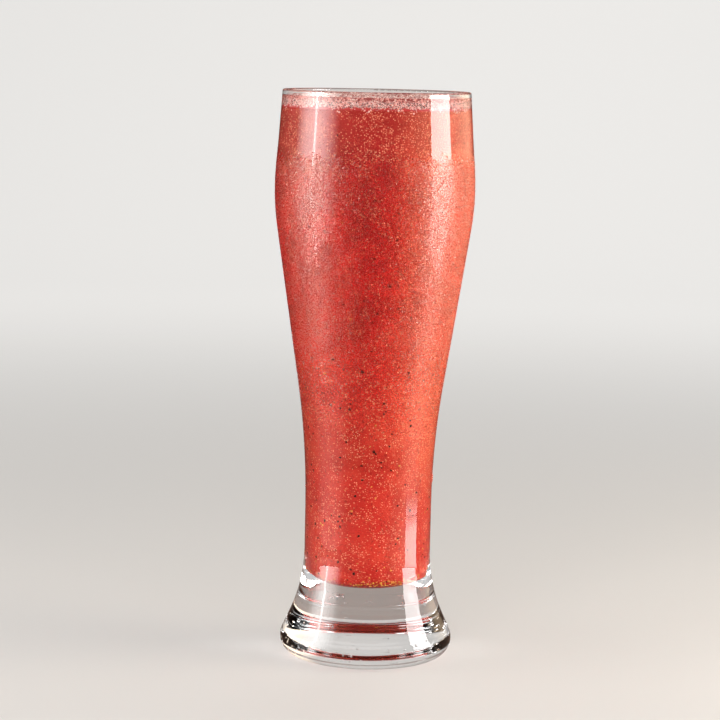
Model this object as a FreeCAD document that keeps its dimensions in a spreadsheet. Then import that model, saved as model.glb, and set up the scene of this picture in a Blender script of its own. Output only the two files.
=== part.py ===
"""Strawberry juice in its tall, waisted beer glass, as a parametric document.

Millimetres. The glass stands on the plane Z = 0 with its axis on Z. Every piece is round, so each
is a half section in the XZ plane turned about Z. The half sections are chains of straight lines
whose corners are rounded by arcs, and all of their sizes come from the sheet "sizes".
"""
import FreeCAD, Part
import math
import os

import Sketcher

SIZES = [
    # outside of the glass
    ("glass_height", 240.0, "rim above the table"),
    ("rim_radius", 39.4, "outside of the rim"),
    ("shoulder_radius", 42.5, "outside of the shoulder, before its rounding"),
    ("shoulder_drop", 45.4, "rim down to the shoulder"),
    ("shoulder_arc", 112.0, "rounding of the shoulder"),
    ("neck_radius", 26.8, "outside of the narrow neck"),
    ("neck_rise", 91.3, "table up to the corner where the neck starts to widen"),
    ("neck_arc", 360.0, "rounding of that corner"),
    ("flare_rise", 30.7, "table up to the corner where the foot starts to flare"),
    ("flare_arc", 66.0, "rounding of that corner"),
    ("foot_radius", 40.9, "outside of the foot, before its rounding"),
    ("foot_arc", 7.8, "rounding of the foot's edge"),
    ("punt_radius", 24.0, "hollow under the foot, inside the ring it stands on"),
    ("punt_depth", 1.2, "depth of that hollow"),
    # inside of the glass
    ("lip_wall", 1.8, "wall at the rim"),
    ("lip_round", 0.8, "rounding of the rim's two edges"),
    ("body_wall", 2.0, "wall at the shoulder"),
    ("neck_wall", 8.4, "wall at the neck"),
    ("well_rise", 66.0, "table up to the corner where the inside starts to widen"),
    ("well_arc", 200.0, "rounding of that corner"),
    ("well_taper", 1.2, "how much the well narrows from there down to its floor"),
    ("floor_rise", 31.5, "thickness of the solid foot"),
    ("floor_arc", 4.0, "rounding where the well's side meets its floor"),
    # contents
    ("brim_gap", 2.3, "rim down to the top of the foam"),
    ("foam_depth", 5.1, "layer of bubbles on the juice"),
    ("wall_gap", 0.08, "clearance between the contents and the wall"),
]
LIP_SHARE = 0.46  # most of the lip's wall that one rounding may take
CUT_MARGIN = 5.0  # how far a cutting section runs past what it cuts


class Size:
    """A number together with the sheet formula that gives it."""

    def __init__(self, value, formula):
        self.value = value
        self.formula = formula

    def __add__(self, other):
        return Size(self.value + other.value, f"({self.formula} + {other.formula})")

    def __sub__(self, other):
        return Size(self.value - other.value, f"({self.formula} - {other.formula})")


class Sizes:
    """The sheet of driving dimensions, with one Size for each of its names."""

    def __init__(self, doc):
        self.sheet = doc.addObject("Spreadsheet::Sheet", "sizes")
        for row, (name, value, meaning) in enumerate(SIZES, start=1):
            self.sheet.set(f"A{row}", name)
            self.sheet.set(f"B{row}", str(value))
            self.sheet.set(f"C{row}", meaning)
            self.sheet.setAlias(f"B{row}", name)
            setattr(self, name, Size(value, f"sizes.{name}"))
        doc.recompute()


ZERO = Size(0.0, "0")
MARGIN = Size(CUT_MARGIN, str(CUT_MARGIN))


def new_body(doc, name):
    body = doc.addObject("PartDesign::Body", name)
    body.Label = name
    body.Placement = FreeCAD.Placement()
    return body


def new_sketch(body, name):
    """An empty sketch on the body's own XZ plane: its x is the radius and its y is the height."""
    plane = next(f for f in body.Origin.OriginFeatures if f.Role == "XZ_Plane")
    sketch = body.newObject("Sketcher::SketchObject", name)
    sketch.AttachmentSupport = [(plane, "")]
    sketch.MapMode = "FlatFace"
    return sketch


def constrain(sketch, kind, *args, size=None):
    """Add one constraint, bound to a Size where it is a measured one."""
    if size is None:
        sketch.addConstraint(Sketcher.Constraint(kind, *args))
        return
    index = sketch.addConstraint(Sketcher.Constraint(kind, *args, size.value))
    sketch.setExpression(f"Constraints[{index}]", size.formula)


def corner_arc(before, corner, after, radius):
    """Centre, start and end of the arc of that radius which rounds a corner."""
    to_before = (before - corner).normalize()
    to_after = (after - corner).normalize()
    half_angle = to_before.getAngle(to_after) / 2
    reach = radius / math.tan(half_angle)
    centre = corner + (to_before + to_after).normalize() * (radius / math.sin(half_angle))
    return centre, corner + to_before * reach, corner + to_after * reach


def arc_edge(centre, start, end):
    """The short arc between two points, and whether it runs from start to end."""
    first = math.atan2(start.y - centre.y, start.x - centre.x)
    last = math.atan2(end.y - centre.y, end.x - centre.x)
    forward = (last - first) % (2 * math.pi) < math.pi
    low, high = (first, last) if forward else (last, first)
    if high < low:
        high += 2 * math.pi
    circle = Part.Circle(centre, FreeCAD.Vector(0, 0, 1), (start - centre).Length)
    return Part.ArcOfCircle(circle, low, high), forward


def outline_sketch(body, name, corners):
    """A closed outline through corners of (radius, height, rounding), rounding None where sharp.

    A rounded corner is a construction point that both of its lines run through, with an arc
    tangent to the two. A sharp corner is the point where its two lines end.
    """
    sketch = new_sketch(body, name)
    count = len(corners)
    points = [FreeCAD.Vector(radius.value, height.value, 0) for radius, height, _ in corners]
    starts = list(points)
    ends = list(points)
    centres = {}
    for i, (_, _, rounding) in enumerate(corners):
        if rounding is not None:
            arc = corner_arc(points[i - 1], points[i], points[(i + 1) % count], rounding.value)
            centres[i], ends[i], starts[i] = arc

    lines = []
    for i in range(count):
        edge = Part.LineSegment(starts[i], ends[(i + 1) % count])
        lines.append(sketch.addGeometry(edge, False))

    for i, (radius, height, rounding) in enumerate(corners):
        arriving, leaving = lines[i - 1], lines[i]
        if rounding is None:
            constrain(sketch, "Coincident", arriving, 2, leaving, 1)
            marker = (leaving, 1)
        else:
            edge, forward = arc_edge(centres[i], ends[i], starts[i])
            arc = sketch.addGeometry(edge, False)
            first, last = (1, 2) if forward else (2, 1)
            marker = (sketch.addGeometry(Part.Point(points[i]), True), 1)
            constrain(sketch, "Tangent", arriving, 2, arc, first)
            constrain(sketch, "Tangent", arc, last, leaving, 1)
            constrain(sketch, "PointOnObject", *marker, arriving)
            constrain(sketch, "PointOnObject", *marker, leaving)
            constrain(sketch, "Radius", arc, size=rounding)
        constrain(sketch, "DistanceX", -1, 1, *marker, size=radius)
        constrain(sketch, "DistanceY", -1, 1, *marker, size=height)
    return sketch


def punt_sketch(body, size):
    """The segment of a circle, centred on the axis, that hollows the underside of the foot."""
    sketch = new_sketch(body, "punt_section")
    radius, depth = size.punt_radius.value, size.punt_depth.value
    dome = (radius**2 + depth**2) / (2 * depth)
    centre = FreeCAD.Vector(0, depth - dome, 0)
    edge, top = FreeCAD.Vector(radius, 0, 0), FreeCAD.Vector(0, depth, 0)
    arc = sketch.addGeometry(arc_edge(centre, edge, top)[0], False)
    axis = sketch.addGeometry(Part.LineSegment(top, FreeCAD.Vector()), False)
    base = sketch.addGeometry(Part.LineSegment(FreeCAD.Vector(), edge), False)
    constrain(sketch, "Coincident", arc, 2, axis, 1)
    constrain(sketch, "Coincident", axis, 2, base, 1)
    constrain(sketch, "Coincident", base, 2, arc, 1)
    constrain(sketch, "Coincident", axis, 2, -1, 1)
    constrain(sketch, "PointOnObject", arc, 3, -2)
    constrain(sketch, "PointOnObject", axis, 1, -2)
    constrain(sketch, "PointOnObject", base, 2, -1)
    constrain(sketch, "Distance", axis, size=size.punt_depth)
    constrain(sketch, "Distance", base, size=size.punt_radius)
    return sketch


def turn(body, kind, name, sketch):
    """Turn a half section all the way round Z, as a Revolution or a Groove."""
    feature = body.newObject(f"PartDesign::{kind}", name)
    feature.Profile = sketch
    feature.ReferenceAxis = (sketch, ["V_Axis"])
    feature.Angle = 360
    sketch.Visibility = False
    body.Document.recompute()
    return feature


def cut_round(body, name, sketch):
    """Groove a half section out of the body, and make sure that it cut something."""
    before = body.Shape.Volume
    groove = turn(body, "Groove", name, sketch)
    if not groove.Shape.Volume < before - 1:
        raise RuntimeError(f"{name} cuts nothing")
    return groove


def glass_corners(size):
    """The outside, from the axis at the table up to the axis at the rim."""
    return [
        (ZERO, ZERO, None),
        (size.foot_radius, ZERO, size.foot_arc),
        (size.neck_radius, size.flare_rise, size.flare_arc),
        (size.neck_radius, size.neck_rise, size.neck_arc),
        (size.shoulder_radius, size.glass_height - size.shoulder_drop, size.shoulder_arc),
        (size.rim_radius, size.glass_height, None),
        (ZERO, size.glass_height, None),
    ]


def inside_corners(size, gap=ZERO):
    """The inside, from the axis at its floor up to the axis at the rim, less a gap at the wall."""
    neck = size.neck_radius - size.neck_wall - gap
    return [
        (ZERO, size.floor_rise, None),
        (neck - size.well_taper, size.floor_rise, size.floor_arc),
        (neck, size.well_rise, size.well_arc),
        (
            size.shoulder_radius - size.body_wall - gap,
            size.glass_height - size.shoulder_drop,
            size.shoulder_arc - size.body_wall,
        ),
        (size.rim_radius - size.lip_wall - gap, size.glass_height, None),
        (ZERO, size.glass_height, None),
    ]


def slab_corners(size, bottom, top):
    """A disc between two heights, wider than the glass, for cutting the contents to a level."""
    reach = size.shoulder_radius + MARGIN
    return [(ZERO, bottom, None), (reach, bottom, None), (reach, top, None), (ZERO, top, None)]


def rim_edges(shape, height):
    """Names of the round edges that lie at the rim's height."""
    names = []
    for i, edge in enumerate(shape.Edges, start=1):
        box = edge.BoundBox
        if abs(box.ZMin - height) < 1e-4 and abs(box.ZMax - height) < 1e-4 and box.XLength > 1:
            names.append(f"Edge{i}")
    return names


def make_glass(doc, size):
    """Clear glass: solid foot with a shallow punt, waisted body, rounded lip."""
    body = new_body(doc, "glass")
    outside = outline_sketch(body, "outside_section", glass_corners(size))
    turn(body, "Revolution", "outside", outside)
    inside = outline_sketch(body, "inside_section", inside_corners(size))
    well = cut_round(body, "inside", inside)
    lip = body.newObject("PartDesign::Fillet", "lip")
    lip.Base = (well, rim_edges(well.Shape, size.glass_height.value))
    lip.setExpression("Radius", f"min(sizes.lip_round; {LIP_SHARE} * sizes.lip_wall)")
    doc.recompute()
    cut_round(body, "punt", punt_sketch(body, size))
    return body


def make_contents(doc, name, size, cuts):
    """What fills the glass between two levels: the inside turned whole, then cut to them."""
    body = new_body(doc, name)
    section = outline_sketch(body, f"{name}_section", inside_corners(size, size.wall_gap))
    turn(body, "Revolution", f"{name}_whole", section)
    for i, (bottom, top) in enumerate(cuts, start=1):
        slab = outline_sketch(body, f"{name}_level_section_{i}", slab_corners(size, bottom, top))
        cut_round(body, f"{name}_level_{i}", slab)
    return body


def check(doc, bodies):
    """Stop if any object failed, or if a body isn't one valid solid."""
    for item in doc.Objects:
        if {"Invalid", "Error"} & set(item.State):
            raise RuntimeError(f"{item.Name} failed: {item.State}")
    for body in bodies:
        shape = body.Shape
        if shape.isNull() or not shape.isValid() or len(shape.Solids) != 1:
            raise RuntimeError(f"{body.Label} isn't one valid solid")
        print(f"{body.Label}: {shape.Volume / 1000:.1f} ml, top {shape.optimalBoundingBox(False).ZMax:.1f} mm")


def main():
    doc = FreeCAD.newDocument("strawberry_juice")
    size = Sizes(doc)
    above_rim = size.glass_height + MARGIN
    foam_top = size.glass_height - size.brim_gap
    juice_top = foam_top - size.foam_depth
    bodies = [
        make_glass(doc, size),
        make_contents(doc, "juice", size, [(juice_top, above_rim)]),
        make_contents(doc, "foam", size, [(foam_top, above_rim), (ZERO, juice_top)]),
    ]
    doc.recompute()
    check(doc, bodies)
    os.makedirs("parts", exist_ok=True)
    for body in bodies:
        body.Shape.exportStep(f"parts/{body.Label}.step")


main()
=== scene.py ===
"""Looks of a tall beer glass of blended strawberry juice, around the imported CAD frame.

Metres. The glass stands on Z = 0 with its axis on Z, and its pictured side faces -Y.
"""
import math

import bmesh
import bpy
import numpy as np
from mathutils import Matrix, Vector
from mathutils.bvhtree import BVHTree


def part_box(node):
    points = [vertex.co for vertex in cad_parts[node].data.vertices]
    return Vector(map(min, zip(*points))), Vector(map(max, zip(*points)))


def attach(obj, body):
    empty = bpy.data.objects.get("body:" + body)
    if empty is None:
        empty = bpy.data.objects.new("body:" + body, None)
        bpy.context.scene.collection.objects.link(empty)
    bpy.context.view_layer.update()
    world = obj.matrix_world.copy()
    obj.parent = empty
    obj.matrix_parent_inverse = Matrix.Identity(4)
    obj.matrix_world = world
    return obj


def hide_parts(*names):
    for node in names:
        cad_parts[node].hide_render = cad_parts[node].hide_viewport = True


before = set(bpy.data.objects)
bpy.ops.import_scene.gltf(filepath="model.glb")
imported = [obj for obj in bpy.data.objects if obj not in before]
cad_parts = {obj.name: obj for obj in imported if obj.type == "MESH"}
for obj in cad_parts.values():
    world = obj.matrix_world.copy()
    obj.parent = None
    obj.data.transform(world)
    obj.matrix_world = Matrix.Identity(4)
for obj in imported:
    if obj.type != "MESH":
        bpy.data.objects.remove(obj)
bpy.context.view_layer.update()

MM = 0.001
BODY = "root"
FOAM_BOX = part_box("foam")
JUICE_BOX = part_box("juice")
FOAM_TOP = FOAM_BOX[1].z
FOAM_BOTTOM = FOAM_BOX[0].z
FLOOR_Z = JUICE_BOX[0].z

TURN = 2 * math.pi
SEGMENTS = 192          # steps round each turned piece
ROW_STEP = 0.5 * MM     # height between the rows in which a CAD outline is read
INTO_WALL = 0.2 * MM    # how far the contents reach past the CAD solids, into the glass
FOAM_CELLS = 1500.0     # cells of the foam to a metre

# the misted band on the outside of the glass, which thins out below and ends in clumps above
MIST_LOW = 108 * MM
MIST_HIGH = 214 * MM


# ---------------------------------------------------------------- outlines


def outline(node):
    """Heights and outer radii of a turned CAD node, from the bottom up, found by rays."""
    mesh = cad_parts[node].data
    points = [vertex.co for vertex in mesh.vertices]
    polygons = [tuple(polygon.vertices) for polygon in mesh.polygons]
    surface = BVHTree.FromPolygons(points, polygons)
    low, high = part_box(node)
    edge = 0.01 * MM    # the end rows are read just inside the node
    rays = 24
    rows = []
    for z in np.arange(low.z + edge, high.z, ROW_STEP).tolist() + [high.z - edge]:
        reach = 0.0
        for turn in np.linspace(0, TURN, rays, endpoint=False):
            out = Vector((math.cos(turn), math.sin(turn), 0))
            hit = surface.ray_cast(Vector((0, 0, z)) + out, -out)[0]
            if hit is not None:
                reach = max(reach, math.hypot(hit.x, hit.y))
        rows.append((z, reach))
    rows[0] = (low.z, rows[0][1])
    rows[-1] = (high.z, rows[-1][1])
    return np.array(rows)


GLASS_OUTLINE = outline("glass")
JUICE_OUTLINE = outline("juice")


def glass_radius(z):
    return np.interp(z, GLASS_OUTLINE[:, 0], GLASS_OUTLINE[:, 1])


def juice_radius(z):
    return np.interp(z, JUICE_OUTLINE[:, 0], JUICE_OUTLINE[:, 1])


def slope(radius_at, z, step):
    """How fast a turned wall widens with height, from its radii one step above and below z."""
    return (radius_at(z + step) - radius_at(z - step)) / (2 * step)


def glass_slope(z):
    return slope(glass_radius, z, ROW_STEP)


def juice_slope(z):
    return slope(juice_radius, z, 2 * ROW_STEP)


# ---------------------------------------------------------------- meshes


def piece_from(name, verts, faces, material):
    """A new smooth piece from lists of points and faces."""
    mesh = bpy.data.meshes.new(name)
    mesh.from_pydata([tuple(point) for point in verts], [], [tuple(face) for face in faces])
    mesh.polygons.foreach_set("use_smooth", [True] * len(mesh.polygons))
    mesh.materials.append(material)
    piece = bpy.data.objects.new(name, mesh)
    bpy.context.scene.collection.objects.link(piece)
    return piece


def turned(name, profile, material):
    """A closed solid from (radius, height) points, the first and last of them on the axis."""
    ring = np.linspace(0, TURN, SEGMENTS, endpoint=False)
    cos, sin = np.cos(ring), np.sin(ring)
    verts = [(0, 0, profile[0][1])]
    for radius, height in profile[1:-1]:
        verts += list(zip(radius * cos, radius * sin, [height] * SEGMENTS))
    verts.append((0, 0, profile[-1][1]))
    last = len(verts) - 1
    rows = len(profile) - 2
    faces = []
    for j in range(SEGMENTS):
        k = (j + 1) % SEGMENTS
        faces.append((0, 1 + k, 1 + j))
        for i in range(rows - 1):
            lower, upper = 1 + i * SEGMENTS, 1 + (i + 1) * SEGMENTS
            faces.append((lower + j, lower + k, upper + k, upper + j))
        top = 1 + (rows - 1) * SEGMENTS
        faces.append((top + j, top + k, last))
    return piece_from(name, verts, faces, material)


def scattered(name, shape, frames, material):
    """One mesh of many copies of a small shape. frames is an array of 3 by 4 placements."""
    shape_verts, shape_faces = shape
    corners = np.c_[np.asarray(shape_verts, float), np.ones(len(shape_verts))]
    verts = np.einsum("nij,vj->nvi", frames, corners).reshape(-1, 3)
    size = len(shape_verts)
    faces = []
    for n in range(len(frames)):
        faces += [tuple(n * size + i for i in face) for face in shape_faces]
    return piece_from(name, verts, faces, material)


def cap_shape(sides, rings):
    """A dome of radius 1 and height 1 on the plane z = 0, open below."""
    verts = [(0, 0, 1)]
    for i in range(1, rings + 1):
        tilt = math.pi / 2 * i / rings
        for j in range(sides):
            turn = TURN * (j + 0.5 * (i % 2)) / sides
            reach = math.sin(tilt)
            verts.append((reach * math.cos(turn), reach * math.sin(turn), math.cos(tilt)))
    faces = [(0, 1 + j, 1 + (j + 1) % sides) for j in range(sides)]
    for i in range(rings - 1):
        inner, outer = 1 + i * sides, 1 + (i + 1) * sides
        for j in range(sides):
            k = (j + 1) % sides
            if i % 2 == 0:
                faces += [(inner + j, outer + j, inner + k), (inner + k, outer + j, outer + k)]
            else:
                faces += [(inner + j, outer + j, outer + k), (inner + j, outer + k, inner + k)]
    return verts, faces


def ball_shape(subdivisions):
    ball = bmesh.new()
    bmesh.ops.create_icosphere(ball, subdivisions=subdivisions, radius=1)
    verts = [tuple(vertex.co) for vertex in ball.verts]
    faces = [tuple(vertex.index for vertex in face.verts) for face in ball.faces]
    ball.free()
    return verts, faces


def seed_shape(detail):
    """A strawberry seed, one unit long: a flattened teardrop lying along x."""
    half_length, half_width, half_height = 0.5, 0.5, 0.28
    middle, narrowing = 0.62, 0.38
    verts, faces = ball_shape(detail)
    shaped = []
    for x, y, z in verts:
        taper = middle - narrowing * x
        shaped.append((half_length * x, half_width * y * taper, half_height * z * taper))
    return shaped, faces


def leaned(out, side, tilt):
    """The same two directions, leaned round the wall and up it by the slopes in tilt."""
    out = out + tilt[:, :1] * side + tilt[:, 1:] * np.cross(out, side)
    out /= np.linalg.norm(out, axis=1, keepdims=True)
    side = side - out * (side * out).sum(1, keepdims=True)
    side /= np.linalg.norm(side, axis=1, keepdims=True)
    return out, side


def wall_frames(turns, heights, radii, slopes, spin, scale, tilt=None):
    """Placements on a turned wall, with local z pointing out of it. Each has its turn round the
    axis, height, radius, wall slope, spin in the wall, three scales and, where given, two tilts."""
    cos, sin = np.cos(turns), np.sin(turns)
    down = -np.asarray(slopes, float)
    length = np.sqrt(1 + down**2)
    out = np.stack([cos / length, sin / length, down / length], 1)
    side = np.stack([-sin, cos, np.zeros_like(sin)], 1)
    if tilt is not None:
        out, side = leaned(out, side, tilt)
    up = np.cross(out, side)
    c, s = np.cos(spin)[:, None], np.sin(spin)[:, None]
    ax, ay = c * side + s * up, -s * side + c * up
    place = np.stack([radii * np.cos(turns), radii * np.sin(turns), heights], 1)
    return np.stack([ax * scale[:, :1], ay * scale[:, 1:2], out * scale[:, 2:3], place], 2)


# ---------------------------------------------------------------- materials


class Graph:
    """A node tree, with inputs given by name as values or as sockets, or by number as _0, _1."""

    def __init__(self, tree):
        self.tree = tree

    def node(self, kind, settings=None, **inputs):
        node = self.tree.nodes.new("ShaderNode" + kind)
        for key, value in (settings or {}).items():
            setattr(node, key, value)
        for key, value in inputs.items():
            numbered = key[0] == "_"
            socket = node.inputs[int(key[1:])] if numbered else node.inputs[key.replace("_", " ")]
            if isinstance(value, bpy.types.NodeSocket):
                self.tree.links.new(value, socket)
            else:
                socket.default_value = value
        return node

    def math(self, operation, *values, clamp=False):
        settings = {"operation": operation, "use_clamp": clamp}
        inputs = {"_%d" % i: value for i, value in enumerate(values)}
        return self.node("Math", settings, **inputs).outputs[0]

    def mix(self, factor, a, b):
        return self.node("MixRGB", None, Fac=factor, Color1=a, Color2=b).outputs[0]

    def mix_shaders(self, factor, a, b):
        return self.node("MixShader", None, _0=factor, _1=a, _2=b).outputs[0]

    def place(self):
        return self.node("TexCoord").outputs["Object"]

    def split(self, vector):
        return self.node("SeparateXYZ", None, Vector=vector).outputs

    def height(self):
        return self.split(self.place())["Z"]

    def noise(self, scale, detail, roughness=0.5, vector=None):
        settings = {"Scale": scale, "Detail": detail, "Roughness": roughness}
        return self.node("TexNoise", None, Vector=vector or self.place(), **settings).outputs["Fac"]

    def cells(self, scale, **settings):
        return self.node("TexVoronoi", settings, Vector=self.place(), Scale=scale).outputs

    def bump(self, strength, distance, height, **normal):
        node = self.node("Bump", None, Strength=strength, Distance=distance, Height=height, **normal)
        return node.outputs[0]

    def ramp(self, factor, *stops):
        """A colour ramp from (position, colour) stops."""
        node = self.node("ValToRGB", None, Fac=factor)
        elements = node.color_ramp.elements
        while len(elements) < len(stops):
            elements.new(1.0)
        for element, (position, colour) in zip(elements, stops):
            element.position = position
            element.color = (*colour, 1.0)
        return node.outputs[0]

    def principled(self, **inputs):
        return self.node("BsdfPrincipled", None, **inputs).outputs[0]


class Material(Graph):
    """The node tree of a new material."""

    def __init__(self, name):
        self.material = bpy.data.materials.new(name)
        self.material.use_nodes = True
        super().__init__(self.material.node_tree)
        self.tree.nodes.clear()
        self.output = self.tree.nodes.new("ShaderNodeOutputMaterial")

    def finish(self, surface):
        self.tree.links.new(surface, self.output.inputs["Surface"])
        return self.material


def rgb(r, g, b):
    """Linear colour from 0 to 255 screen values."""
    return tuple(((c / 255 + 0.055) / 1.055) ** 2.4 if c > 10 else c / 3294.6 for c in (r, g, b))


def grey(level):
    return (level, level, level)


def opaque(colour):
    """The colour with a fourth value, as a colour socket wants it."""
    return (*colour, 1)


def between(graph, value, low, high):
    """0 below low and 1 above high, smoothly, or the other way round where low is the larger."""
    settings = {"interpolation_type": "SMOOTHSTEP"}
    step = graph.node("MapRange", settings, Value=value, From_Min=low, From_Max=high)
    return step.outputs[0]


def looked_at(graph):
    """1 for a ray of the camera, also through glass, and 0 for light on its way to a surface."""
    path = graph.node("LightPath").outputs
    straight = graph.math("LESS_THAN", path["Diffuse Depth"], 0.5)
    through = graph.math("MULTIPLY", path["Is Transmission Ray"], straight)
    return graph.math("MAXIMUM", path["Is Camera Ray"], through)


def wetted(graph, surface, height):
    """Where water covers the glass, light passes from one to the other without a reflection."""
    lowest, highest = MIST_LOW - 24 * MM, MIST_HIGH + 3 * MM
    above = graph.math("GREATER_THAN", height, lowest)
    below = graph.math("LESS_THAN", height, highest)
    band = graph.math("MULTIPLY", above, below)
    passed = graph.node("LightPath").outputs["Transmission Depth"]
    from_water = graph.math("GREATER_THAN", passed, 0.5)
    leaving = graph.node("NewGeometry").outputs["Backfacing"]
    covered = graph.math("MULTIPLY", band, graph.math("MAXIMUM", from_water, leaving))
    through = graph.node("BsdfTransparent").outputs[0]
    return graph.mix_shaders(covered, surface, through)


def clear(graph, surface):
    """Lets the lamps through a clear piece, to light what is inside it."""
    through = graph.node("BsdfTransparent", None, Color=opaque(grey(0.96))).outputs[0]
    shadow = graph.node("LightPath").outputs["Is Shadow Ray"]
    return graph.finish(graph.mix_shaders(shadow, surface, through))


def domes(graph, scale, radius):
    """Heights from 0 to 1 of small round bumps, about 1 / scale metres apart. Their radius is a
    share of that distance."""
    spread = graph.math("DIVIDE", graph.cells(scale)["Distance"], radius)
    return graph.math("SUBTRACT", 1.0, graph.math("POWER", spread, 2.0), clamp=True)


def grains(graph, scale, size, amount):
    """Round dots about 1 / scale metres apart, present where amount beats their own chance.
    Their size is a radius, as a share of that distance."""
    cells = graph.cells(scale)
    chance = graph.node("SeparateColor", None, Color=cells["Color"]).outputs[0]
    present = graph.math("LESS_THAN", chance, amount)
    spread = graph.math("DIVIDE", cells["Distance"], size)
    near = graph.math("SUBTRACT", 1.0, spread, clamp=True)
    return graph.math("MULTIPLY", graph.math("MULTIPLY", near, 2.0, clamp=True), present)


def glass_material():
    """Clear glass, a little wavy, more so round the bottom of the well."""
    graph = Material("clear_glass")
    height = graph.height()
    wavy = graph.bump(0.15, 0.6 * MM, graph.noise(30.0, 1.0))
    stretched = graph.node("Mapping", None, Vector=graph.place(), Scale=(26.0, 26.0, 230.0))
    above = between(graph, height, 26 * MM, 31 * MM)
    below = between(graph, height, 44 * MM, 37 * MM)
    band = graph.math("MULTIPLY", above, below)
    ripples = graph.noise(1.0, 0.0, vector=stretched.outputs[0])
    rippled = graph.bump(1.0, 0.4 * MM, graph.math("MULTIPLY", ripples, band), Normal=wavy)
    surface = graph.principled(
        Base_Color=(0.975, 0.985, 0.98, 1), Roughness=0.0, IOR=1.52, Normal=rippled,
        Transmission_Weight=1.0)
    return clear(graph, wetted(graph, surface, height))


def mist_material(name, colour, ior):
    """Fine droplets, too small to look clear one by one. A colour darker than white is a painted shade
    over what shows through them.
    """
    graph = Material(name)
    surface = graph.principled(
        Base_Color=opaque(colour), Roughness=0.28, IOR=ior, Transmission_Weight=1.0,
        Specular_Tint=(1.0, 0.86, 0.74, 1))
    return clear(graph, surface)


def drop_material():
    graph = Material("water_drop")
    surface = graph.principled(
        Base_Color=(1, 1, 1, 1), Roughness=0.0, IOR=1.33, Transmission_Weight=1.0)
    return clear(graph, surface)


def juice_base(graph, height):
    """The juice's red, cloudy and blotched above its middle, with painted light: lighter and more orange
    below, for light bounced up from the table, and a painted shade deepening it towards the top.
    """
    cloud = graph.noise(70.0, 3.0)
    # painted light: the lower ramp is lighter and more orange than the upper one, for light bounced up
    # from the table
    upper = graph.ramp(cloud, (0.32, rgb(168, 19, 24)), (0.5, rgb(191, 23, 27)), (0.7, rgb(209, 38, 38)))
    lower = graph.ramp(cloud, (0.32, rgb(188, 32, 28)), (0.5, rgb(202, 40, 34)), (0.7, rgb(216, 60, 46)))
    colour = graph.mix(between(graph, height, 170 * MM, 100 * MM), upper, lower)
    # painted shade: the red deepens towards the top
    shaded_top = graph.math("MULTIPLY", between(graph, height, 182 * MM, 222 * MM), 0.7)
    colour = graph.mix(shaded_top, colour, opaque(rgb(150, 22, 26)))
    blotches = graph.ramp(graph.noise(260.0, 2.0), (0.36, grey(0.45)), (0.5, grey(0)))
    blotches = graph.math("MULTIPLY", blotches, between(graph, height, 110 * MM, 150 * MM))
    return graph.mix(blotches, colour, opaque(rgb(146, 18, 22)))


def juice_drift(graph, height, froth_and_lit_side):
    """Where the pale bubbles and pulp gather: in drifts, at both ends and on the right side, where the
    gathering is partly froth and partly painted light from the lamp on that side.
    """
    drift = graph.ramp(graph.noise(120.0, 3.0, 0.6), (0.4, grey(0.1)), (0.66, grey(0.8)))
    bottom = graph.math("MULTIPLY", between(graph, height, 110 * MM, 70 * MM), 0.5)
    ends = graph.math("MAXIMUM", bottom, between(graph, height, 196 * MM, 222 * MM))
    drift = graph.math("MULTIPLY", drift, graph.math("MULTIPLY_ADD", ends, 0.5, 0.5))
    return graph.math("MAXIMUM", drift, graph.math("MULTIPLY", froth_and_lit_side, 0.74))


def juice_material():
    graph = Material("strawberry_juice")
    across, _, height = graph.split(graph.place())
    to_the_right = between(graph, across, 2 * MM, 24 * MM)
    # the right side, partly froth and partly painted light from the right lamp: paler and more orange
    # there, with more pale dots
    froth_and_lit_side = graph.math("MULTIPLY", to_the_right, between(graph, height, 45 * MM, 90 * MM))
    colour = juice_base(graph, height)
    # partly painted light: the right side turns a paler orange where the right lamp lights it
    colour = graph.mix(graph.math("MULTIPLY", froth_and_lit_side, 0.25), colour, opaque(rgb(238, 122, 84)))
    drift = juice_drift(graph, height, froth_and_lit_side)
    dot_size = 0.46
    coarse = (1500.0, rgb(252, 172, 134), 0.85)
    fine = (2200.0, rgb(236, 112, 84), 0.7)
    for scale, tint, share in (coarse, fine):
        dots = graph.math("MULTIPLY", grains(graph, scale, dot_size, drift), share)
        colour = graph.mix(dots, colour, opaque(tint))
    dark = graph.ramp(graph.noise(900.0, 2.0, 0.6), (0.3, grey(1)), (0.42, grey(0)))
    colour = graph.mix(graph.math("MULTIPLY", dark, 0.55), colour, opaque(rgb(120, 14, 16)))
    grainy = graph.bump(1.0, 0.12 * MM, domes(graph, 1300.0, 0.5))
    surface = graph.principled(
        Base_Color=colour, Roughness=0.4, Normal=grainy,
        Subsurface_Weight=0.12, Subsurface_Radius=(1.0, 0.35, 0.25), Subsurface_Scale=3 * MM,
        Specular_IOR_Level=0.35, Specular_Tint=(1.0, 0.78, 0.5, 1))
    return graph.finish(surface)


def bubble_material(name, light, dark):
    graph = Material(name)
    colour = graph.ramp(graph.noise(1100.0, 2.0), (0.35, dark), (0.6, light))
    surface = graph.principled(
        Base_Color=colour, Roughness=0.25,
        Subsurface_Weight=0.2, Subsurface_Radius=(1.0, 0.5, 0.4), Subsurface_Scale=2 * MM)
    return graph.finish(surface)


def foam_cells(graph, chance):
    """Pale rings round small cells, each as dark inside as its own chance is low."""
    edges = graph.cells(FOAM_CELLS, feature="DISTANCE_TO_EDGE")["Distance"]
    inside = graph.ramp(
        chance, (0.26, rgb(84, 18, 16)), (0.48, rgb(146, 36, 34)), (0.7, rgb(196, 84, 74)),
        (0.95, rgb(244, 190, 178)))
    ring = graph.ramp(edges, (0.04, grey(0.9)), (0.11, grey(0)))
    return graph.mix(ring, inside, opaque(rgb(248, 206, 196)))


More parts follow.
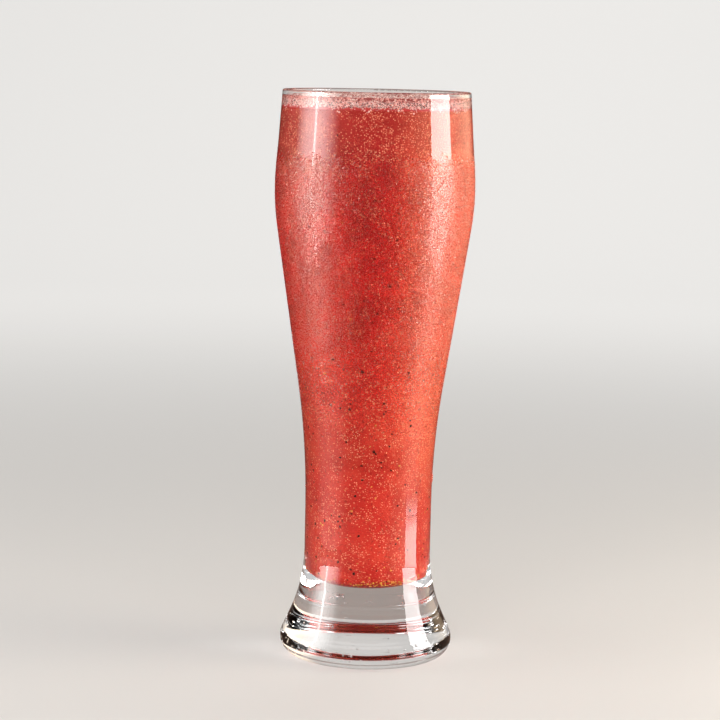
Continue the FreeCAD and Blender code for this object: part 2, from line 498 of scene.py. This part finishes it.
def foam_core_material():
    """Foam against the glass: small cells under a dark line, with juice in patches below."""
    graph = Material("foam_core")
    height = graph.height()
    cell_colour = graph.cells(FOAM_CELLS)["Color"]
    chance = graph.node("SeparateColor", None, Color=cell_colour).outputs[1]
    patches = graph.math("SUBTRACT", graph.noise(70.0, 2.0), 0.5)
    chance = graph.math("ADD", chance, graph.math("MULTIPLY", patches, 1.6))
    colour = foam_cells(graph, chance)
    uneven = graph.math("MULTIPLY", graph.noise(500.0, 1.0), 0.9 * MM)
    raised = graph.math("ADD", height, uneven)
    line = between(graph, raised, FOAM_TOP - 0.1 * MM, FOAM_TOP + 0.1 * MM)
    colour = graph.mix(graph.math("MULTIPLY", line, 0.75), colour, opaque(rgb(74, 40, 36)))
    drips = graph.math("MULTIPLY", graph.noise(420.0, 3.0, 0.7), 5 * MM)
    lowered = graph.math("SUBTRACT", height, drips)
    juicy = between(graph, lowered, FOAM_BOTTOM - 1.2 * MM, FOAM_BOTTOM - 2.0 * MM)
    colour = graph.mix(juicy, colour, opaque(rgb(186, 40, 36)))
    upward = graph.split(graph.node("NewGeometry").outputs["Normal"])["Z"]
    pale = graph.ramp(chance, (0.2, rgb(150, 52, 46)), (0.8, rgb(236, 160, 148)))
    colour = graph.mix(between(graph, upward, 0.6, 0.8), colour, pale)
    return graph.finish(graph.principled(Base_Color=colour, Roughness=0.35))


def seed_material(name, light, dark, shine):
    graph = Material(name)
    colour = graph.ramp(graph.noise(700.0, 1.0), (0.4, dark), (0.6, light))
    return graph.finish(
        graph.principled(Base_Color=colour, Roughness=0.45, Specular_IOR_Level=shine))


def floor_material():
    """A pale floor that keeps its shadows, brighter where it is looked at and dark in mirrors."""
    graph = Material("floor")
    mirrored = graph.node("LightPath").outputs["Is Glossy Ray"]
    colour = graph.mix(mirrored, opaque(rgb(176, 174, 171)), opaque(rgb(92, 66, 52)))
    surface = graph.principled(Base_Color=colour, Roughness=0.7)
    away = graph.node("VectorMath", {"operation": "LENGTH"}, _0=graph.place()).outputs["Value"]
    glow_near, glow_more_far = 0.24, 0.36
    level = graph.math("MULTIPLY_ADD", between(graph, away, 0.2, 1.5), glow_more_far, glow_near)
    strength = graph.math("MULTIPLY", looked_at(graph), level)
    glow = graph.node("Emission", None, Color=(1.0, 0.99, 0.97, 1), Strength=strength).outputs[0]
    return graph.finish(graph.node("AddShader", None, _0=surface, _1=glow).outputs[0])


# ---------------------------------------------------------------- contents


def fill_profile():
    """The juice's section, from its floor up, reaching just into the wall."""
    floor_z = FLOOR_Z - INTO_WALL
    curved_rows, row_skip = 8, 3
    low_rows = JUICE_OUTLINE[:curved_rows]
    high_rows = JUICE_OUTLINE[curved_rows:-1:row_skip]
    points = [(0.0, floor_z)]
    for z, radius in np.r_[low_rows, high_rows, JUICE_OUTLINE[-1:]]:
        points.append((radius + INTO_WALL, z if z > FLOOR_Z else floor_z))
    points.append((0.0, JUICE_OUTLINE[-1][0]))
    return points


def make_juice():
    fill = turned("juice_fill", fill_profile(), juice_material())
    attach(fill, BODY)
    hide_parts("juice")


def foam_core(low, top):
    """The foam's disc, its top sunken a little, from its outer radii below and on top."""
    into_juice, bevel = 0.5 * MM, 0.8 * MM
    sunken_edge, sunken_middle = 0.5 * MM, 0.6 * MM
    under = FOAM_BOTTOM - into_juice
    profile = [
        (0.0, under), (low, under), (low, FOAM_BOTTOM), (top, FOAM_TOP),
        (top - bevel, FOAM_TOP - sunken_edge), (0.0, FOAM_TOP - sunken_middle)]
    core = turned("foam_core", profile, foam_core_material())
    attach(core, BODY)
    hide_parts("foam")


def bubble_sizes(rng, count, typical, variety, smallest, largest):
    """Radii given in mm, many small ones and a few large ones."""
    return np.clip(rng.lognormal(math.log(typical), variety, count), smallest, largest) * MM


def wall_bubbles(rng, low, top):
    """Bubbles against the glass, hanging further down in some places than in others."""
    count, highest, flatness = 1500, FOAM_TOP - 0.3 * MM, 0.6
    turns = rng.uniform(0, TURN, count)
    hang = 1.15 + 0.35 * np.sin(turns * 23 + np.sin(turns * 7) * 3)
    depth = rng.beta(1.2, 1.3, count) * hang
    heights = highest - depth * 0.8 * (FOAM_TOP - FOAM_BOTTOM)
    sizes = bubble_sizes(rng, count, 0.25, 0.4, 0.15, 0.6)
    radii = np.interp(heights, [FOAM_BOTTOM, FOAM_TOP], [low, top])
    scale = np.stack([sizes, sizes, sizes * flatness], 1)
    upright = np.zeros(count)
    frames = wall_frames(turns, heights, radii, upright, upright, scale)
    film = bubble_material("wall_bubble", rgb(252, 220, 210), rgb(224, 140, 126))
    bubbles = scattered("wall_bubbles", ball_shape(1), frames, film)
    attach(bubbles, BODY)


def top_bubbles(rng, top):
    """Bubbles all over the foam's sunken top, each of them partly in it."""
    count, edge, sunken = 2400, 1.2 * MM, 0.6 * MM
    turns = rng.uniform(0, TURN, count)
    radii = (top - edge) * np.sqrt(rng.uniform(0, 1, count))
    sizes = bubble_sizes(rng, count, 0.5, 0.5, 0.2, 1.6)
    heights = FOAM_TOP - sunken - 0.3 * sizes
    frames = np.zeros((count, 3, 4))
    for axis in range(3):
        frames[:, axis, axis] = sizes
    frames[:, :, 3] = np.stack([radii * np.cos(turns), radii * np.sin(turns), heights], 1)
    film = bubble_material("top_bubble", rgb(252, 214, 204), rgb(168, 70, 62))
    froth = scattered("top_bubbles", ball_shape(2), frames, film)
    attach(froth, BODY)


def make_foam():
    rng = np.random.default_rng(11)
    radii = outline("foam")[:, 1]
    end_rows = 3
    low = float(radii[:end_rows].max()) + INTO_WALL
    top = float(radii[-end_rows:].max()) + INTO_WALL
    foam_core(low, top)
    wall_bubbles(rng, low, top)
    top_bubbles(rng, top)


# ---------------------------------------------------------------- seeds


def on_wall(rng, name, turns, heights, lengths, detail, material, proud=0.0):
    """Seeds or flecks on the inside of the wall, turned any way. Their lengths in mm lie between
    the two given."""
    count = len(heights)
    sizes = rng.uniform(*lengths, count) * MM
    spin = rng.uniform(0, TURN, count)
    radii = juice_radius(heights) + INTO_WALL + proud
    scale = np.repeat(sizes[:, None], 3, 1)
    frames = wall_frames(turns, heights, radii, juice_slope(heights), spin, scale)
    flecks = scattered(name, seed_shape(detail), frames, material)
    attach(flecks, BODY)


def dark_seeds(rng, low, depth):
    count = 260
    heights = low + depth * rng.beta(1.0, 1.5, count)
    turns = rng.uniform(0, TURN, count)
    brown = seed_material("dark_seed", rgb(96, 34, 18), rgb(44, 12, 8), 0.1)
    on_wall(rng, "dark_seeds", turns, heights, (0.8, 1.6), 2, brown)


def gold_seeds(rng, low, depth):
    """Golden seeds, most of them settled round the bottom, more of them in front."""
    settled, floating, in_front = 110, 60, 60
    all_round = settled + floating - in_front
    settled_z = low + rng.uniform(-2.2, 0.6, settled) * MM
    heights = np.r_[settled_z, low + depth * rng.beta(1.0, 3.0, floating)]
    degrees = np.r_[rng.uniform(-110, -10, in_front), rng.uniform(0, 360, all_round)]
    golden = seed_material("gold_seed", rgb(240, 176, 66), rgb(196, 112, 30), 0.5)
    on_wall(
        rng, "gold_seeds", np.radians(degrees), heights, (0.6, 1.3), 2, golden, proud=0.05 * MM)


def pulp(rng, low, depth):
    count = 3300
    heights = low + depth * rng.beta(1.0, 1.4, count)
    turns = rng.uniform(0, TURN, count)
    pale = seed_material("pale_pulp", rgb(252, 178, 120), rgb(232, 112, 84), 0.25)
    on_wall(rng, "pulp", turns, heights, (0.25, 0.7), 1, pale)


def make_seeds():
    rng = np.random.default_rng(5)
    low = FLOOR_Z + 3 * MM
    depth = FOAM_BOTTOM - low
    dark_seeds(rng, low, depth)
    gold_seeds(rng, low, depth)
    pulp(rng, low, depth)


# ---------------------------------------------------------------- mist


def hexagonal(spacing):
    """Turns and heights of a hexagonal grid of droplets over the misted band."""
    lowest, highest = MIST_LOW - 22 * MM, MIST_HIGH + 2 * MM
    row_step = 0.866 * spacing    # so that neighbours in two rows lie one spacing apart
    turns, heights = [], []
    z = lowest
    row = 0
    while z < highest:
        count = int(TURN * float(glass_radius(z)) / spacing)
        turns.append(TURN * (np.arange(count) + 0.5 * (row % 2)) / count)
        heights.append(np.full(count, z))
        z += row_step
        row += 1
    return np.concatenate(turns), np.concatenate(heights)


def packed(spacing):
    """Turns and heights of droplets side by side, thinning out below and in clumps above."""
    jitter, clump_mm = 0.35, 1.3
    starts_below, rises_over, falls_over = 18 * MM, 46 * MM, 4.5 * MM
    rng = np.random.default_rng(3)
    turns, heights = hexagonal(spacing)
    count = len(turns)
    turns += rng.uniform(-jitter, jitter, count) * spacing / glass_radius(heights)
    heights += rng.uniform(-jitter, jitter, count) * spacing
    wide = np.sin(turns * 9 + np.sin(turns * 4) * 2)
    clumps = wide + np.sin(turns * 31 + heights * 900) + 0.8 * np.sin(turns * 67 - heights * 1700)
    edge = heights + clumps * clump_mm * MM
    rise = np.clip((edge - MIST_LOW + starts_below) / rises_over, 0, 1) ** 2.5
    fall = np.clip((MIST_HIGH - edge) / falls_over, 0, 1)
    kept = rng.uniform(0, 1, count) < rise * fall
    return turns[kept], heights[kept]


def droplets(rng, name, turns, heights, half_sizes, shape, water):
    """Flat droplets on the outside of the glass, most of them level and some leaning."""
    clear_of_glass, level_share, level, leaning, steepest = 0.05 * MM, 0.7, 0.05, 0.2, 0.5
    count = len(turns)
    half = rng.uniform(*half_sizes, count) * MM
    stretch = rng.uniform(0.9, 1.2, count)
    flatness = rng.uniform(0.08, 0.2, count)
    scale = np.stack([half, half * stretch, half * flatness], 1)
    lean = np.where(rng.uniform(0, 1, (count, 1)) < level_share, level, leaning)
    tilt = np.clip(rng.normal(0, 1, (count, 2)) * lean, -steepest, steepest)
    spin = rng.uniform(0, TURN, count)
    radii = glass_radius(heights) + clear_of_glass
    frames = wall_frames(turns, heights, radii, glass_slope(heights), spin, scale, tilt)
    mist = scattered(name, shape, frames, water)
    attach(mist, BODY)


def make_mist():
    rng = np.random.default_rng(4)
    turns, heights = packed(0.56 * MM)
    bright = rng.uniform(0, 1, len(turns)) < 0.5
    # painted shade: these droplets are tinted a dark pink, standing in for the darker light that clear
    # water would bend in from elsewhere
    shade_tinted = mist_material("shade_tinted_droplets", (0.8, 0.5, 0.46), 1.25)
    shiny = mist_material("shiny_droplets", (1, 1, 1), 1.7)
    small, large = cap_shape(4, 1), cap_shape(8, 2)
    droplets(rng, "mist_fine", turns[~bright], heights[~bright], (0.28, 0.4), small, shade_tinted)
    droplets(rng, "mist_drops", turns[bright], heights[bright], (0.26, 0.38), small, shiny)
    beads = 700
    bead_turns = rng.uniform(0, TURN, beads)
    bead_heights = rng.uniform(MIST_LOW, MIST_HIGH, beads)
    droplets(rng, "mist_beads", bead_turns, bead_heights, (0.4, 0.6), large, shiny)


def make_drips():
    """Larger drops, many low on the foot, one on the right side and a few strays.

    Their places are in degrees from -Y towards +X and in millimetres.
    """
    front, round_foot, stray, flatness, sunk = 46, 60, 5, 0.4, 0.02 * MM
    low_count = front + round_foot
    rng = np.random.default_rng(21)
    low = np.r_[rng.uniform(-85, 20, front), rng.uniform(-180, 180, round_foot)]
    low_z = np.r_[rng.uniform(2, 11, front), rng.uniform(2, 22, round_foot)] * MM
    sides = np.r_[84, rng.uniform(-180, 180, stray)]
    turns = np.radians(np.r_[low, sides] - 90)
    heights = np.r_[low_z, 77 * MM, rng.uniform(45, 100, stray) * MM]
    half = np.r_[rng.uniform(0.25, 0.6, low_count), 0.9, rng.uniform(0.4, 0.7, stray)] * MM
    longer = np.r_[np.ones(low_count), 2.2, rng.uniform(1.0, 1.8, stray)]
    scale = np.stack([half, half * longer, half * flatness], 1)
    radii = glass_radius(heights) - sunk
    upright = np.zeros(len(turns))
    frames = wall_frames(turns, heights, radii, glass_slope(heights), upright, scale)
    drips = scattered("drips", cap_shape(12, 4), frames, drop_material())
    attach(drips, BODY)


# ---------------------------------------------------------------- stage


def make_stage():
    """A pale floor that curves up into a backdrop behind the glass."""
    half_width, back, bend, height, bend_steps = 4.0, 2.6, 1.0, 3.0, 16
    profile = [(-half_width, 0.0), (back - bend, 0.0)]
    for i in range(1, bend_steps + 1):
        turn = math.pi / 2 * i / bend_steps
        profile.append((back - bend + bend * math.sin(turn), bend - bend * math.cos(turn)))
    profile.append((back, height))
    below_glass = 0.1 * MM
    verts = [(x, y, z - below_glass) for y, z in profile for x in (-half_width, half_width)]
    faces = [(2 * i, 2 * i + 1, 2 * i + 3, 2 * i + 2) for i in range(len(profile) - 1)]
    piece_from("floor", verts, faces, floor_material())


def lamp(name, width, height, radiance, diffuse, mirrored):
    """An area lamp of that brightness, seen by surfaces, by mirrors or by both."""
    data = bpy.data.lights.new(name, "AREA")
    data.shape = "RECTANGLE"
    data.size, data.size_y = width, height
    data.energy = radiance * math.pi * width * height
    holder = bpy.data.objects.new(name, data)
    holder.visible_camera = False
    holder.visible_diffuse = diffuse
    holder.visible_glossy = mirrored
    holder.visible_transmission = mirrored
    bpy.context.scene.collection.objects.link(holder)
    return holder


def fade(data, soft, rise):
    """Fades a lamp out at both sides over soft of its width, and in from below over rise."""
    data.use_nodes = True
    graph = Graph(data.node_tree)
    along = graph.split(graph.node("NewGeometry").outputs["Parametric"])
    strength = between(graph, graph.math("PINGPONG", along["X"], 0.5), -0.001, soft)
    if rise:
        upward = between(graph, along["Y"], 1.0, 1.0 - rise)
        strength = graph.math("MULTIPLY", strength, upward)
    graph.tree.links.new(strength, graph.tree.nodes["Emission"].inputs["Strength"])


def softbox(name, azimuth, spread, distance, top, radiance, colour=(1, 1, 1), soft=0.0, rise=0.0,
            mirrored=True):
    """An upright softbox on the floor, facing the glass, at an azimuth from -Y towards +X.

    Its spread is its width in degrees. A mirrored one shows in reflections and lights nothing,
    any other one only lights surfaces.
    """
    width = 2 * distance * math.tan(math.radians(spread / 2))
    holder = lamp(name, width, top, radiance, not mirrored, mirrored)
    holder.data.color = colour
    turn = math.radians(azimuth)
    holder.location = (distance * math.sin(turn), -distance * math.cos(turn), top / 2 + MM)
    holder.rotation_euler = (math.pi / 2, 0, turn)
    if soft or rise:
        fade(holder.data, soft, rise)


def square_lamp(name, place, aim, size, radiance, mirrored):
    """A square lamp that lights surfaces, and also shows in reflections if mirrored."""
    holder = lamp(name, size, size, radiance, True, mirrored)
    holder.location = place
    towards = Vector(aim) - holder.location
    holder.rotation_euler = towards.to_track_quat("-Z", "Y").to_euler()


def make_mirrored_lamps():
    """The strips and the haze that the glass reflects."""
    softbox("right_strip", azimuth=80.5, spread=29, distance=0.54, top=0.5, radiance=11.4,
            colour=(1.0, 0.96, 0.96), rise=0.04)
    softbox("right_low", azimuth=82, spread=26, distance=0.2, top=0.034, radiance=7.5,
            colour=(1.0, 0.96, 0.94), rise=0.5)
    softbox("left_haze", azimuth=-74, spread=66, distance=0.54, top=0.5, radiance=8.6,
            colour=(1.0, 0.97, 0.96), soft=0.5, rise=0.12)
    softbox("left_core", azimuth=-74, spread=6.0, distance=0.52, top=0.5, radiance=9.0, soft=0.5)
    softbox("left_low", azimuth=-70, spread=70, distance=0.25, top=0.05, radiance=0.8,
            colour=(1.0, 0.86, 0.8), soft=0.4, rise=1.0)
    softbox("right_rear", azimuth=128, spread=60, distance=0.6, top=0.5, radiance=1.7,
            colour=(1.0, 0.74, 0.5), soft=0.5)


def make_lighting_lamps():
    """The lamps that light the juice and the floor."""
    softbox("right_light", azimuth=80, spread=40, distance=0.6, top=0.6, radiance=6.3,
            colour=(1.0, 0.86, 0.70), mirrored=False)
    softbox("left_light", azimuth=-74, spread=50, distance=0.6, top=0.6, radiance=2.0,
            colour=(1.0, 0.9, 0.82), mirrored=False)
    behind_foot, glass_middle = (0, 0.2, 0), (0, 0, 0.1)
    square_lamp("overhead", (0, -0.6, 1.8), behind_foot, 1.6, 1.74, True)
    square_lamp("front_fill", (-0.3, -1.5, 0.7), glass_middle, 1.2, 2.9, False)
    square_lamp("back_fill", (0.4, 2.2, 1.8), glass_middle, 1.2, 3.2, False)


def make_world():
    """Weak light from all round, and a pale surrounding for rays that look at it."""
    world = bpy.data.worlds.new("studio")
    bpy.context.scene.world = world
    world.use_nodes = True
    graph = Graph(world.node_tree)
    background = graph.tree.nodes["Background"]
    background.inputs["Color"].default_value = (0.97, 0.98, 1.0, 1)
    light, looked_at_more = 0.09, 0.6
    strength = graph.math("MULTIPLY_ADD", looked_at(graph), looked_at_more, light)
    graph.tree.links.new(strength, background.inputs["Strength"])


def make_camera():
    """The camera in front of the glass, a little above its rim, looking down at it."""
    distance, height = 1.0509, 0.262
    down, aside, lean = 7.35, 0.26, 1.21
    data = bpy.data.cameras.new("camera")
    data.lens = 125.2
    data.clip_start = 0.05
    holder = bpy.data.objects.new("camera", data)
    place = Matrix.Translation((0, -distance, height))
    yaw = Matrix.Rotation(math.radians(aside), 4, "Z")
    pitch = Matrix.Rotation(math.radians(90 - down), 4, "X")
    roll = Matrix.Rotation(math.radians(lean), 4, "Z")
    holder.matrix_world = place @ yaw @ pitch @ roll
    bpy.context.scene.collection.objects.link(holder)
    bpy.context.scene.camera = holder


glass_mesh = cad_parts["glass"].data
glass_mesh.materials.clear()
glass_mesh.materials.append(glass_material())
make_juice()
make_foam()
make_seeds()
make_mist()
make_drips()
make_stage()
make_mirrored_lamps()
make_lighting_lamps()
make_world()
make_camera()
bpy.context.scene.view_settings.view_transform = "Standard"
